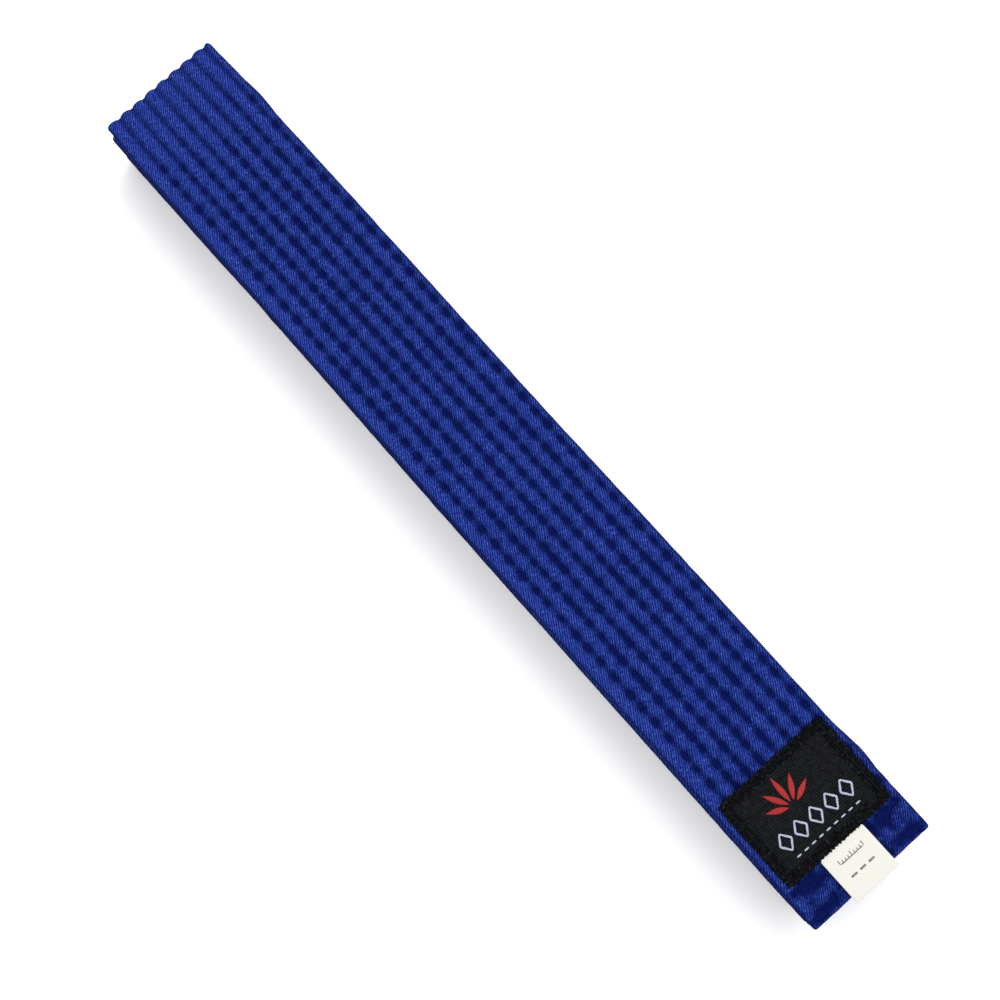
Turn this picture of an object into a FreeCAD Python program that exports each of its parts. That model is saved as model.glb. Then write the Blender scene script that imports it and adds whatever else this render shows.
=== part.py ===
import FreeCAD, Part
import math
import os

# A martial arts belt: a quilted cotton tube, 2.4 m long, folded to and fro into eight layers.
# X runs along the bundle, with the labelled end at +X. Y runs across the belt. Z is up.
# The origin is at the bottom centre of the folded bundle. All sizes are in millimetres.

# Driving dimensions: the belt's section
BELT_WIDTH = 40.0
BELT_THICKNESS = 2.9
ROW_COUNT = 8
ROW_PITCH = 4.7
ROW_OFFSET = 1.1
GROOVE_DEPTH = 0.45
GROOVE_FLAT = 0.5
RIB_SHOULDER = 0.9
SHOULDER_MID = 0.42
SHOULDER_DROP = 0.24
EDGE_ROUNDING = 0.9
COVER_EDGE_WALL = 1.2
CAVITY_HEIGHT = 1.5
PLY_THICKNESS = 0.7
PLY_CLEARANCE = 0.05
THREAD_WIDTH = 0.4
THREAD_HEIGHT = 0.2

# Driving dimensions: the fold
LAYERS = 8
PANEL_LENGTH = 296.0
LAYER_GAP = 0.3
END_CLEARANCE = 0.1
FAR_NOSE_SHARE = 0.9
NEAR_NOSE_SHARE = 0.75
NEAR_PIVOT_OFFSET = 1.6
END_TO_PIVOT = 0.2
PLAIN_END_INSET = 2.0
HEM_LENGTH = 6.0
HEM_ROW_INSET = 1.6
HEM_ROW_SPACING = 9.0
HEM_SIDE_INSET = 2.2

# Driving dimensions: the label, its stitching and the size tag
LABEL_ACROSS = 35.9
LABEL_ALONG = 27.4
LABEL_TO_END = 12.5
PATCH_THICKNESS = 0.5
BORDER_WIDTH = 2.9
BORDER_LIP = 0.3
BORDER_HEIGHT = 0.35
MOTIF_HEIGHT = 0.2
SEAM_INSET = 1.3
SEAM_WIDTH = 0.35
SEAM_DEPTH = 0.2
HEM_THREAD_HEIGHT = 0.12
TAG_WIDTH = 15.1
TAG_OVERHANG = 1.5
TAG_PLY = 0.25
TAG_PLY_GAP = 0.1
TAG_CLEARANCE = 0.3
INK_THICKNESS = 0.05

HALF_WIDTH = BELT_WIDTH / 2
HALF_THICK = BELT_THICKNESS / 2
LAYER_PITCH = BELT_THICKNESS + LAYER_GAP
STACK_TOP = (LAYERS - 1) * LAYER_PITCH + BELT_THICKNESS
CAVITY_HALF_WIDTH = HALF_WIDTH - COVER_EDGE_WALL
PLY_HALF_WIDTH = CAVITY_HALF_WIDTH - PLY_CLEARANCE

# A fold's skin runs from the crease at its middle out to its nose.
FOLD_RADIUS = LAYER_GAP / 2 + BELT_THICKNESS
FOLD_MID_RADIUS = LAYER_GAP / 2 + HALF_THICK

# The bundle is centred between the nose of the far folds and the tag's free end.
NEAR_REACH = NEAR_PIVOT_OFFSET - END_TO_PIVOT + TAG_OVERHANG
FAR_REACH = FAR_NOSE_SHARE * FOLD_RADIUS
FAR_X = -(PANEL_LENGTH + NEAR_REACH - FAR_REACH) / 2
NEAR_X = FAR_X + PANEL_LENGTH
LABEL_END_X = NEAR_X + NEAR_PIVOT_OFFSET - END_TO_PIVOT
PLAIN_END_X = LABEL_END_X - PLAIN_END_INSET
LABEL_NEAR_X = LABEL_END_X - LABEL_TO_END
LABEL_FAR_X = LABEL_NEAR_X - LABEL_ALONG
LABEL_MID_X = (LABEL_NEAR_X + LABEL_FAR_X) / 2
PATCH_TOP = STACK_TOP + PATCH_THICKNESS
BORDER_TOP = PATCH_TOP + BORDER_HEIGHT

# The rows of stitches are evenly spaced, and sit a little towards +Y of the belt's middle.
STITCH_ROWS = [ROW_OFFSET + (i - (ROW_COUNT - 1) / 2) * ROW_PITCH for i in range(ROW_COUNT)]


def point(x, y, z):
    return FreeCAD.Vector(x, y, z)


def save(shape, node):
    os.makedirs("parts", exist_ok=True)
    shape.exportStep("parts/" + node + ".step")


def group(solids):
    return Part.makeCompound(solids)


def block(x_range, y_range, z_range):
    low = point(x_range[0], y_range[0], z_range[0])
    size = [r[1] - r[0] for r in (x_range, y_range, z_range)]
    return Part.makeBox(size[0], size[1], size[2], low)


def layer_middle(layer):
    """Height of a layer's middle plane; layer 1 is on top and carries the label."""
    return (LAYERS - layer) * LAYER_PITCH + HALF_THICK


def fold_middle(fold):
    """Height of the crease between layer number fold and the layer under it."""
    return layer_middle(fold) - HALF_THICK - LAYER_GAP / 2


def layer_span(layer):
    """The lowest and highest X of a layer between its folds or its finished end."""
    low = FAR_X + END_CLEARANCE
    if layer == 1:
        return low, LABEL_END_X
    if layer == LAYERS:
        return low, PLAIN_END_X
    return low, NEAR_X - END_CLEARANCE


# ---- the belt's section: a ribbed outline, made by the rows of stitching ----

def ribbed_edges(x, z, sign):
    """One face of the section, from -Y to +Y: flat crests and rounded grooves."""
    crest = z + sign * HALF_THICK
    floor = crest - sign * GROOVE_DEPTH
    edges = []
    last = point(x, -HALF_WIDTH + EDGE_ROUNDING, crest)
    for row in STITCH_ROWS:
        for side in (-1, 1):
            top = point(x, row + side * (GROOVE_FLAT / 2 + RIB_SHOULDER), crest)
            foot = point(x, row + side * GROOVE_FLAT / 2, floor)
            bulge = point(
                x,
                row + side * (GROOVE_FLAT / 2 + RIB_SHOULDER * SHOULDER_MID),
                crest - sign * GROOVE_DEPTH * SHOULDER_DROP,
            )
            if side < 0:
                edges.append(Part.LineSegment(last, top).toShape())
                edges.append(Part.Arc(top, bulge, foot).toShape())
                last = foot
            else:
                edges.append(Part.LineSegment(last, foot).toShape())
                edges.append(Part.Arc(foot, bulge, top).toShape())
                last = top
    end = point(x, HALF_WIDTH - EDGE_ROUNDING, crest)
    edges.append(Part.LineSegment(last, end).toShape())
    return edges


def belt_prism(x_range, z):
    """A solid length of belt, with no hollow."""
    x = x_range[0]
    edges = ribbed_edges(x, z, 1) + ribbed_edges(x, z, -1)
    for side in (-1, 1):
        inner = side * (HALF_WIDTH - EDGE_ROUNDING)
        edges.append(
            Part.Arc(
                point(x, inner, z - HALF_THICK),
                point(x, side * HALF_WIDTH, z),
                point(x, inner, z + HALF_THICK),
            ).toShape()
        )
    wire = Part.Wire(Part.__sortEdges__(edges))
    return Part.Face(wire).extrude(point(x_range[1] - x, 0, 0))


def cavity_range(layer):
    """The hollow runs through a layer, and stops at the hem of a finished end."""
    low, high = layer_span(layer)
    if layer in (1, LAYERS):
        return low, high - HEM_LENGTH
    return low, high


def cover(layer):
    """The woven cotton tube of one layer."""
    z = layer_middle(layer)
    half = CAVITY_HEIGHT / 2
    hollow = block(
        cavity_range(layer),
        (-CAVITY_HALF_WIDTH, CAVITY_HALF_WIDTH),
        (z - half, z + half),
    )
    return belt_prism(layer_span(layer), z).cut(hollow)


def core(layer):
    """Two plies of cotton wadding that lie inside the cover."""
    z = layer_middle(layer)
    low, high = cavity_range(layer)
    gap = CAVITY_HEIGHT / 2 - PLY_THICKNESS - PLY_CLEARANCE / 2
    plies = []
    for sign in (-1, 1):
        near, far = z + sign * gap, z + sign * (gap + PLY_THICKNESS)
        plies.append(
            block(
                (low, high - PLY_CLEARANCE),
                (-PLY_HALF_WIDTH, PLY_HALF_WIDTH),
                (min(near, far), max(near, far)),
            )
        )
    return group(plies)


def stitching(layer):
    """Rows of needle thread on top and bobbin thread underneath, laid in the grooves."""
    z = layer_middle(layer)
    x_range = layer_span(layer)
    threads = []
    for row in STITCH_ROWS:
        y_range = (row - THREAD_WIDTH / 2, row + THREAD_WIDTH / 2)
        floor = HALF_THICK - GROOVE_DEPTH
        threads.append(block(x_range, y_range, (z + floor, z + floor + THREAD_HEIGHT)))
        threads.append(block(x_range, y_range, (z - floor - THREAD_HEIGHT, z - floor)))
    return group(threads)


# ---- the folds: half rings that join one layer to the next ----

def half_disc(fold, radius, y_range):
    """A half-ellipse block on the outer side of a crease, over a stretch of Y."""
    far = fold % 2 == 1
    x = FAR_X if far else NEAR_X
    reach = -FAR_NOSE_SHARE * radius if far else NEAR_NOSE_SHARE * radius
    y, z = y_range[0], fold_middle(fold)
    oval = Part.Ellipse(point(x, y, z + radius), point(x + reach, y, z), point(x, y, z))
    rim = Part.ArcOfEllipse(oval, 0, math.pi).toShape()
    chord = Part.LineSegment(point(x, y, z + radius), point(x, y, z - radius)).toShape()
    face = Part.Face(Part.Wire(Part.__sortEdges__([rim, chord])))
    return face.extrude(point(0, y_range[1] - y, 0))


def half_ring(fold, inner, outer, y_range):
    wide = (y_range[0] - 1, y_range[1] + 1)
    return half_disc(fold, outer, y_range).cut(half_disc(fold, inner, wide))


def fold_cover(fold):
    """The cover where it turns back on itself, ribbed outside and creased inside."""
    body = half_disc(fold, FOLD_RADIUS - GROOVE_DEPTH, (-HALF_WIDTH, HALF_WIDTH))
    edges = [-HALF_WIDTH] + STITCH_ROWS + [HALF_WIDTH]
    for low, high in zip(edges[:-1], edges[1:]):
        y_range = (low + GROOVE_FLAT / 2, high - GROOVE_FLAT / 2)
        body = body.fuse(half_disc(fold, FOLD_RADIUS, y_range))
    hollow = half_ring(
        fold,
        FOLD_MID_RADIUS - CAVITY_HEIGHT / 2,
        FOLD_MID_RADIUS + CAVITY_HEIGHT / 2,
        (-CAVITY_HALF_WIDTH, CAVITY_HALF_WIDTH),
    )
    return body.cut(hollow).removeSplitter()


def fold_core(fold):
    """The two plies of wadding where they turn round the fold."""
    plies = []
    for sign in (-1, 1):
        middle = FOLD_MID_RADIUS + sign * CAVITY_HEIGHT / 4
        half = PLY_THICKNESS / 2 - PLY_CLEARANCE / 4
        y_range = (-PLY_HALF_WIDTH, PLY_HALF_WIDTH)
        plies.append(half_ring(fold, middle - half, middle + half, y_range))
    return group(plies)


def fold_stitching(fold):
    """The needle thread of each row where it goes round the outside of a fold."""
    floor = FOLD_RADIUS - GROOVE_DEPTH
    threads = []
    for row in STITCH_ROWS:
        y_range = (row - THREAD_WIDTH / 2, row + THREAD_WIDTH / 2)
        threads.append(half_ring(fold, floor, floor + THREAD_HEIGHT, y_range))
    return group(threads)


# ---- the finished ends: hems closed by a row across and a cross of stitches ----

def bar(start, end, width, z_range):
    """A straight thread between two points given as (x, y), as a flat bar."""
    run_x, run_y = end[0] - start[0], end[1] - start[1]
    length = math.hypot(run_x, run_y)
    solid = block((0, length), (-width / 2, width / 2), z_range)
    solid.rotate(point(0, 0, 0), point(0, 0, 1), math.degrees(math.atan2(run_y, run_x)))
    solid.translate(point(start[0], start[1], 0))
    return solid


def hem_threads(end_x, z_range):
    """A closing row near the end, a second row, and two rows that cross between them."""
    outer = end_x - HEM_ROW_INSET
    inner = outer - HEM_ROW_SPACING
    reach = HALF_WIDTH - HEM_SIDE_INSET
    runs = [
        ((outer, -reach), (outer, reach)),
        ((inner, -reach), (inner, reach)),
        ((inner, -reach), (outer, reach)),
        ((inner, reach), (outer, -reach)),
    ]
    solid = bar(runs[0][0], runs[0][1], SEAM_WIDTH, z_range)
    for start, end in runs[1:]:
        solid = solid.fuse(bar(start, end, SEAM_WIDTH, z_range))
    return solid.removeSplitter()


def end_stitching(layer):
    """The hem's thread, pulled flat across the crests on top of the layer."""
    crest = layer_middle(layer) + HALF_THICK
    return hem_threads(layer_span(layer)[1], (crest, crest + HEM_THREAD_HEIGHT))


# ---- the woven label, with its overlocked border and its woven motifs ----

def label_plan(grow, z_range):
    """A block of the label's outline, made larger by grow on each side."""
    return block(
        (LABEL_FAR_X - grow, LABEL_NEAR_X + grow),
        (-LABEL_ACROSS / 2 - grow, LABEL_ACROSS / 2 + grow),
        z_range,
    )


def label_patch():
    return label_plan(0, (STACK_TOP, PATCH_TOP))


def seam_frame():
    """The row of stitches that fixes the label, along the middle of its border."""
    z_range = (BORDER_TOP - SEAM_DEPTH, BORDER_TOP)
    outer = label_plan(-SEAM_INSET, z_range)
    return outer.cut(label_plan(-SEAM_INSET - SEAM_WIDTH, z_range))


def label_border():
    """Overlock thread that wraps the label's cut edge."""
    body = label_plan(BORDER_LIP, (STACK_TOP, BORDER_TOP))
    body = body.cut(label_patch())
    body = body.cut(label_plan(-BORDER_WIDTH, (PATCH_TOP, BORDER_TOP)))
    return body.cut(seam_frame())


def flat_shape(outline, z):
    """A raised motif from a closed outline of (x, y) points."""
    corners = [point(x, y, z) for x, y in outline]
    face = Part.Face(Part.makePolygon(corners + corners[:1]))
    return face.extrude(point(0, 0, MOTIF_HEIGHT))


def leaf(root_x, root_y, turn, length, width, z):
    """A pointed leaf that grows from its root towards -X, turned about the root."""
    start, tip = point(0, 0, z), point(-length, 0, z)
    middle = -length * 0.45
    one = Part.Arc(start, point(middle, width / 2, z), tip).toShape()
    other = Part.Arc(tip, point(middle, -width / 2, z), start).toShape()
    solid = Part.Face(Part.Wire([one, other])).extrude(point(0, 0, MOTIF_HEIGHT))
    solid.rotate(point(0, 0, 0), point(0, 0, 1), turn)
    solid.translate(point(root_x, root_y, 0))
    return solid


def label_emblem():
    """A fan of five pointed bamboo leaves, in raised thread."""
    spread, ring = 32.0, 1.6
    root_x, root_y = LABEL_MID_X - 0.8, -2.6
    leaves = []
    for step in range(-2, 3):
        turn = step * spread
        length = 8.2 - 0.9 * abs(step)
        out_x = root_x - ring * math.cos(math.radians(turn))
        out_y = root_y - ring * math.sin(math.radians(turn))
        leaves.append(leaf(out_x, out_y, turn, length, 1.9, PATCH_TOP))
    return group(leaves)


def label_pattern():
    """A chain of lozenge frames with a row of short bars under it, in raised thread."""
    count, along, across, wall = 5, 6.4, 5.0, 0.75
    x = LABEL_MID_X + 4.4
    solids = []
    for i in range(count):
        y = (i - (count - 1) / 2) * (across + 0.35)
        rim = [(x - along / 2, y), (x, y + across / 2), (x + along / 2, y), (x, y - across / 2)]
        inner = [(x + (px - x) * (1 - wall / 2), y + (py - y) * (1 - wall / 2)) for px, py in rim]
        frame = flat_shape(rim, PATCH_TOP).cut(flat_shape(inner, PATCH_TOP))
        solids.append(frame)
    bars, bar_x, bar_long, bar_wide = 9, LABEL_MID_X + 9.2, 1.5, 0.5
    for i in range(bars):
        y = (i - (bars - 1) / 2) * 2.6
        solids.append(
            block(
                (bar_x - bar_wide / 2, bar_x + bar_wide / 2),
                (y - bar_long / 2, y + bar_long / 2),
                (PATCH_TOP, PATCH_TOP + MOTIF_HEIGHT),
            )
        )
    return group(solids)


# ---- the size tag: a folded loop of satin ribbon under the label's edge ----

TAG_LOW_Z = STACK_TOP + HEM_THREAD_HEIGHT + TAG_CLEARANCE
TAG_THICKNESS = 2 * TAG_PLY + TAG_PLY_GAP
TAG_TOP = TAG_LOW_Z + TAG_THICKNESS
TAG_START_X = LABEL_NEAR_X + BORDER_LIP + TAG_CLEARANCE
TAG_END_X = LABEL_END_X + TAG_OVERHANG


def slot_prism(x_range, radius, z, half_width):
    """A block whose +X end is a half round of the given radius."""
    y = -half_width
    end = x_range[1] - radius
    corners = [point(x_range[0], y, z + radius), point(end, y, z + radius)]
    feet = [point(end, y, z - radius), point(x_range[0], y, z - radius)]
    edges = [
        Part.LineSegment(corners[0], corners[1]).toShape(),
        Part.Arc(corners[1], point(x_range[1], y, z), feet[0]).toShape(),
        Part.LineSegment(feet[0], feet[1]).toShape(),
        Part.LineSegment(feet[1], corners[0]).toShape(),
    ]
    return Part.Face(Part.Wire(edges)).extrude(point(0, 2 * half_width, 0))


def size_tag():
    z = TAG_LOW_Z + TAG_THICKNESS / 2
    outer = slot_prism((TAG_START_X, TAG_END_X), TAG_THICKNESS / 2, z, TAG_WIDTH / 2)
    hollow = (TAG_START_X - 1, TAG_END_X - TAG_PLY)
    return outer.cut(slot_prism(hollow, TAG_PLY_GAP / 2, z, TAG_WIDTH / 2))


def tag_print():
    """Ink on the tag's upper face: a short ruled scale over a row of three plain bars."""
    z_range = (TAG_TOP, TAG_TOP + INK_THICKNESS)
    scale_x, row_x = TAG_START_X + 3.6, TAG_START_X + 7.6
    ticks, spacing, line = 9, 1.0, 0.28
    half_span = (ticks - 1) * spacing / 2
    ink = block((scale_x - line / 2, scale_x + line / 2), (-half_span, half_span), z_range)
    for i in range(ticks):
        y = i * spacing - half_span
        rise = 1.3 if i % 4 == 0 else 0.8
        ink = ink.fuse(block((scale_x - rise, scale_x), (y - line / 2, y + line / 2), z_range))
    solids = [ink.removeSplitter()]
    for i in (-1, 0, 1):
        solids.append(block((row_x - 0.3, row_x + 0.3), (i * 3.0 - 1.0, i * 3.0 + 1.0), z_range))
    return group(solids)


# ---- write every piece ----

for layer in range(1, LAYERS + 1):
    save(cover(layer), "cover_%d" % layer)
    save(core(layer), "core_%d" % layer)
    save(stitching(layer), "stitching_%d" % layer)

for fold in range(1, LAYERS):
    save(fold_cover(fold), "fold_cover_%d" % fold)
    save(fold_core(fold), "fold_core_%d" % fold)
    save(fold_stitching(fold), "fold_stitching_%d" % fold)

save(end_stitching(1), "label_end_stitching")
save(end_stitching(LAYERS), "plain_end_stitching")
save(label_patch(), "label_patch")
save(label_border(), "label_border")
save(seam_frame(), "label_seam")
save(label_emblem(), "label_emblem")
save(label_pattern(), "label_pattern")
save(size_tag(), "size_tag")
save(tag_print(), "tag_print")
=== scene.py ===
import math
import random

import bpy
from mathutils import Matrix, Vector
from mathutils.bvhtree import BVHTree


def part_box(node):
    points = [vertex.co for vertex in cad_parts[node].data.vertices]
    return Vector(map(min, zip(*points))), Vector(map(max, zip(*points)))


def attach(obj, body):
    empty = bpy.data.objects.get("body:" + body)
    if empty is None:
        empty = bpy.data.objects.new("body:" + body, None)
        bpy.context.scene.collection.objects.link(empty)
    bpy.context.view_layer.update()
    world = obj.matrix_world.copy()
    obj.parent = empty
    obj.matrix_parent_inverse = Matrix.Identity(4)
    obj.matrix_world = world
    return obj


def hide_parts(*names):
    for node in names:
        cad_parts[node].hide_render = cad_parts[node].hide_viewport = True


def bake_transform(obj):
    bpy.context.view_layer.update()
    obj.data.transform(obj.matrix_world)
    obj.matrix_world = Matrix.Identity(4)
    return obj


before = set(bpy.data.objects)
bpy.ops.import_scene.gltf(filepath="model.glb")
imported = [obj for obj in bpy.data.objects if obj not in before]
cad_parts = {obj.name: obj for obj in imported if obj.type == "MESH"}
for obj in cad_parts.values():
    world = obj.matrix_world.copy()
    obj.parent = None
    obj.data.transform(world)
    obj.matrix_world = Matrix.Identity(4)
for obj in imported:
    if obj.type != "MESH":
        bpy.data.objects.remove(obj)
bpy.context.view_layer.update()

# ---- the camera ----
# A 50 mm lens looks almost straight down on the folded belt, so that the belt lies across the
# view from the upper left to the lower right, with its label at the lower right.

lens = bpy.data.cameras.new("camera")
lens.lens = 50
lens.sensor_width = 36
camera = bpy.data.objects.new("camera", lens)
bpy.context.scene.collection.objects.link(camera)
bpy.context.scene.camera = camera
look = Vector((-0.145, 0.049, -0.988)).normalized()
right = look.cross(Vector((-0.7367, 0.6614, 0.1409))).normalized()
turn = Matrix((right, right.cross(look), -look)).transposed().to_4x4()
camera.matrix_world = Matrix.Translation((0.0647, -0.0253, 0.4027)) @ turn

# ---- the table and the lights ----
# The belt lies on a white sheet of card in soft light: a wide lamp on the +Y side, a weaker one
# opposite, and a bright even surrounding.


def linear(hex_colour):
    """An sRGB hex colour as linear RGBA."""
    parts = [int(hex_colour[i : i + 2], 16) / 255 for i in (1, 3, 5)]
    return [c / 12.92 if c <= 0.04045 else ((c + 0.055) / 1.055) ** 2.4 for c in parts] + [1]


def add(tree, kind, inputs=None, **settings):
    """Adds a shader node with its settings; an input is a value or another node's output."""
    made = tree.nodes.new("ShaderNode" + kind)
    for name, value in settings.items():
        setattr(made, name, value)
    for name, value in (inputs or {}).items():
        if isinstance(value, bpy.types.NodeSocket):
            tree.links.new(value, made.inputs[name])
        else:
            made.inputs[name].default_value = value
    return made


def new_material(name, **shader_inputs):
    """A material with one Principled shader, and its node tree."""
    material = bpy.data.materials.new(name)
    material.use_nodes = True
    tree = material.node_tree
    tree.nodes.clear()
    inputs = {key.replace("_", " "): value for key, value in shader_inputs.items()}
    shader = add(tree, "BsdfPrincipled", inputs)
    add(tree, "OutputMaterial", {"Surface": shader.outputs["BSDF"]})
    return material, tree, shader


def link(tree, source, shader, socket):
    tree.links.new(source, shader.inputs[socket])


def ramp(tree, factor, *stops):
    """The colour that a factor picks between stops, each a position and a hex colour."""
    made = add(tree, "ValToRGB", {"Fac": factor})
    elements = made.color_ramp.elements
    for element, (position, colour) in zip(elements, (stops[0], stops[-1])):
        element.position = position
        element.color = linear(colour)
    for position, colour in stops[1:-1]:
        elements.new(position).color = linear(colour)
    return made.outputs["Color"]


def lamp(name, place, size, watts):
    """A square lamp that points at the middle of the belt."""
    light = bpy.data.lights.new(name, "AREA")
    light.size = size
    light.energy = watts
    made = bpy.data.objects.new(name, light)
    made.matrix_world = (
        Matrix.Translation(place) @ (-Vector(place)).to_track_quat("-Z", "Y").to_matrix().to_4x4()
    )
    bpy.context.scene.collection.objects.link(made)


lamp("key_lamp", (-0.12, 0.4, 0.55), 0.6, 3.0)
lamp("fill_lamp", (0.5, -0.6, 0.9), 0.8, 1.0)
world = bpy.data.worlds.new("studio")
world.use_nodes = True
world.node_tree.nodes["Background"].inputs["Color"].default_value = linear("#ffffff")
world.node_tree.nodes["Background"].inputs["Strength"].default_value = 1.15
bpy.context.scene.world = world
bpy.context.scene.view_settings.view_transform = "Standard"

card = bpy.data.meshes.new("card")
card_half = 3.0
card_z = -0.0002
corners = [(-1, -1), (1, -1), (1, 1), (-1, 1)]
card.from_pydata([(x * card_half, y * card_half, card_z) for x, y in corners], [], [(0, 1, 2, 3)])
floor = bpy.data.objects.new("card", card)
bpy.context.scene.collection.objects.link(floor)
card_white = new_material("matt_white_card", Base_Color=linear("#fafafa"), Roughness=0.9)
card.materials.append(card_white[0])

# ---- the cloth panels ----
# The belt is one flat tube of cotton twill, filled with wadding and quilted by eight rows of
# stitches. Folded, it makes eight layers. Each row pulls a groove, each stitch a pit in it.

MM = 0.001
LAYERS = 8
ROWS = 8
HALF_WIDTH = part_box("cover_1")[1][1] / MM
HALF_THICK = (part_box("cover_1")[1][2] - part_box("cover_1")[0][2]) / 2 / MM
FAR_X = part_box("fold_cover_1")[1][0] / MM
NEAR_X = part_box("fold_cover_2")[0][0] / MM
LABEL_END_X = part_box("cover_1")[1][0] / MM
PLAIN_END_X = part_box("cover_8")[1][0] / MM
THREAD_BAR = 0.4
FIRST_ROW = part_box("stitching_1")[0][1] / MM + THREAD_BAR / 2
LAST_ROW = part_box("stitching_1")[1][1] / MM - THREAD_BAR / 2
ROW_Y = [FIRST_ROW + i * (LAST_ROW - FIRST_ROW) / (ROWS - 1) for i in range(ROWS)]
PANEL_MM = NEAR_X - FAR_X
FOLD_MM = 5.0

# How far each fold, first to last, lies to one side, as a hand-folded belt does.
FOLD_SHIFT = [0.0, 0.3, -0.5, -0.9, -0.35, -0.6, -0.6]
WANDER = 0.35
SLACK = 0.9

# Where the lower layers lie slack: X for layer 0, how much further on each next one, and a width.
SLACK_PLACES = [(106, 9, 7), (FAR_X + 4, 8, 8)]
END_SPREAD = 0.02
END_SPREAD_LENGTH = 40
DRAWN_IN = 0.02
DRAWN_IN_LENGTH = 14


def middle(node):
    low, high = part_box(node)
    return (low[2] + high[2]) / 2 / MM


LAYER_Z = {k: middle(f"cover_{k}") for k in range(1, LAYERS + 1)}


def smooth(t):
    t = min(max(t, 0), 1)
    return t * t * (3 - 2 * t)


def bump(distance, width):
    return math.exp(-((distance / width) ** 2))


def panel_span(k):
    """The two ends of layer k in X."""
    return FAR_X, {1: LABEL_END_X, LAYERS: PLAIN_END_X}.get(k, NEAR_X)


def side_shift(k, x):
    """How far layer k lies to one side at x: its folds' shifts, a slow wander, and slack places."""
    at_far = FOLD_SHIFT[k - 1] if k % 2 else FOLD_SHIFT[k - 2]
    near_fold = k if k % 2 == 0 else k - 1
    at_near = 0.0 if near_fold in (0, LAYERS) else FOLD_SHIFT[near_fold - 1]
    t = (x - FAR_X) / PANEL_MM
    wander = math.sin(math.pi * smooth(t)) * math.sin(5.1 * t + 1.7 * k)
    slack = sum(bump(x - at - step * k, width) for at, step, width in SLACK_PLACES)
    aside = at_far + (at_near - at_far) * smooth(t) + WANDER * wander
    return aside + (SLACK * slack if k > 1 else 0)


def placed_y(k, x, y):
    """Y in space of a point of the tube: layer 1 is pulled in at its fold and spread at its end."""
    spread = END_SPREAD * smooth((x - LABEL_END_X) / END_SPREAD_LENGTH + 1) if k == 1 else 0
    drawn_in = DRAWN_IN * smooth(1 - (x - FAR_X) / DRAWN_IN_LENGTH) if k in (1, 2) else 0
    return y * (1 + spread - drawn_in) + side_shift(k, x)


STITCH = 4.5
EDGE_STITCH = 5.4
STRAY_ALONG = 0.6
STRAY_ACROSS = 0.3
PULLED = (0.45, 1.25)


def stitch_holes(k, row):
    """Where the needle went through: X, a small Y to one side, and how hard it was pulled."""
    feed = random.Random(100 * k + row)
    pitch = EDGE_STITCH if row in (0, ROWS - 1) else STITCH
    low, high = panel_span(k)
    x = low + 3 + feed.random() * pitch
    holes = []
    while x < high - 2:
        hole_x = x + feed.uniform(-STRAY_ALONG, STRAY_ALONG)
        hole_y = feed.uniform(-STRAY_ACROSS, STRAY_ACROSS)
        holes.append((hole_x, hole_y, feed.uniform(*PULLED)))
        x += pitch
    return holes


HOLES = {(k, row): stitch_holes(k, row) for k in range(1, LAYERS + 1) for row in range(ROWS)}
LEAST_PULL = 0.12
FADE_START = 4
FAR_FADE = 42
NEAR_FADE = 30


def faded(distance, fade):
    """The pull at a distance from a fold, growing over the fade."""
    return LEAST_PULL + (1 - LEAST_PULL) * smooth((distance - FADE_START) / fade)


def quilting(k, x):
    """How hard the stitches pull at x: not at a fold, where the cloth is stretched smooth."""
    low, high = panel_span(k)
    from_far = faded(x - low, FAR_FADE)
    return from_far if k in (1, LAYERS) else from_far * faded(high - x, NEAR_FADE)


HEM_INSET = 1.6
HEM_ROWS_APART = 9.0
HEM_FROM_SIDE = 2.2


def hem_lines(k):
    """The hem's stitches as segments: a row across, a second row, and two that cross."""
    outer = panel_span(k)[1] - HEM_INSET
    inner = outer - HEM_ROWS_APART
    side = HALF_WIDTH - HEM_FROM_SIDE
    return [
        ((outer, -side), (outer, side)),
        ((inner, -side), (inner, side)),
        ((inner, -side), (outer, side)),
        ((inner, side), (outer, -side)),
    ]


def to_segment(x, y, segment):
    """Distance from a point to a segment, and how far along it the nearest point is."""
    start, end = Vector(segment[0]), Vector(segment[1])
    run = end - start
    along = min(max((Vector((x, y)) - start).dot(run) / run.length_squared, 0), 1)
    return (Vector((x, y)) - start - run * along).length, along * run.length


PULL_REACH = 4
GROOVE = 0.85
GROOVE_WIDTH = 0.85
PIT = 1.45
PIT_ALONG = 1.45
PIT_ACROSS = 1.5


def row_pull(k, row, x, away):
    """How deep one row of stitches pulls the cloth in: its groove, and the pits at its holes."""
    deep = GROOVE * bump(away, GROOVE_WIDTH)
    hardness = quilting(k, x)
    for hole_x, hole_y, hard in HOLES[k, row]:
        if abs(x - hole_x) < PULL_REACH:
            off = math.hypot((x - hole_x) / PIT_ALONG, (away - hole_y) / PIT_ACROSS)
            deep += hardness * hard * PIT * bump(off**1.3, 1)
    return deep


HEM_STITCH = 3.2
HEM_LENGTH = 15
HEM_GROOVE_WIDTH = 1.1
GATHER = 1.1
PLEAT = 0.6
PLEATS = 7

# Where the crossing hem stitches gather the cloth, as X from the end of the belt, and Y.
GATHERS = [(-9.0, 12.4), (-3.6, 16.0), (-8.2, -13.0), (-3.0, -16.2)]


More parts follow.
